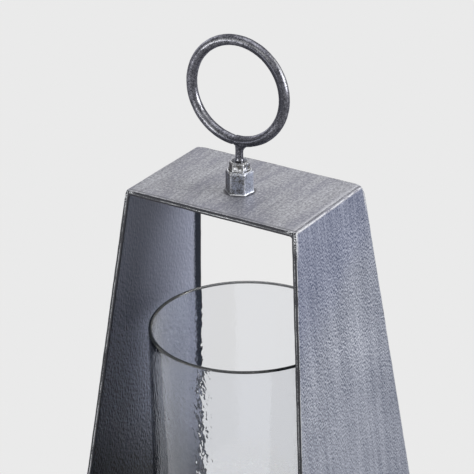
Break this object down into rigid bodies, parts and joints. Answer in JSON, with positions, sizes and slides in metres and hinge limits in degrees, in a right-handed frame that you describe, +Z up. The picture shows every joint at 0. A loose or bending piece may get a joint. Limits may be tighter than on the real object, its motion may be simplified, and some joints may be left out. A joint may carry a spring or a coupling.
{
  "type": "candle lantern",
  "caption": "Tapered metal candle lantern, open at front and back, with a lift-out glass cylinder, a pillar candle and a swivelling carry ring on a hexagonal boss.",
  "frame": {"origin": "on the floor, under the middle of the base plate", "axes": "+Z up, front towards -Y, the two side panels at +X and -X"},
  "size_m": [0.241, 0.21, 0.5522],
  "materials": {
    "frame_metal": "antiqued grey, brushed and pitted",
    "ring_metal": "dark pewter with rubbed edges",
    "glass": "clear, hammered",
    "wax": "ivory wax",
    "wick": "braided cotton",
    "pads": "matt"
  },
  "bodies": {
    "frame": {"top_plate": "frame_metal", "left_panel": "frame_metal", "right_panel": "frame_metal", "base_plate": "frame_metal", "upper_left_weld": "frame_metal", "upper_right_weld": "frame_metal", "lower_left_weld": "frame_metal", "lower_right_weld": "frame_metal", "glass_lugs": "frame_metal", "foot_pads": "pads", "socket_nut": "ring_metal"},
    "handle": {"carry_ring": "ring_metal", "swivel_stem": "ring_metal", "collar_nut": "ring_metal", "stem_washer": "ring_metal", "lock_nut": "ring_metal"},
    "glass": {"glass_cylinder": "glass"},
    "candle_set": {"candle": "wax", "wick": "wick"}
  },
  "joints": [
    {"name": "handle_swivel", "type": "hinge", "parent": "frame", "child": "handle", "pos_m": [0, -0.007, 0.428], "axis": [0, 0, 1], "continuous": true},
    {"name": "glass_lift", "type": "slide", "parent": "frame", "child": "glass", "axis": [0, 0, 1], "range_m": [0, 0.06]},
    {"name": "candle_lift", "type": "slide", "parent": "frame", "child": "candle_set", "axis": [0, 0, 1], "range_m": [0, 0.306]}
  ]
}
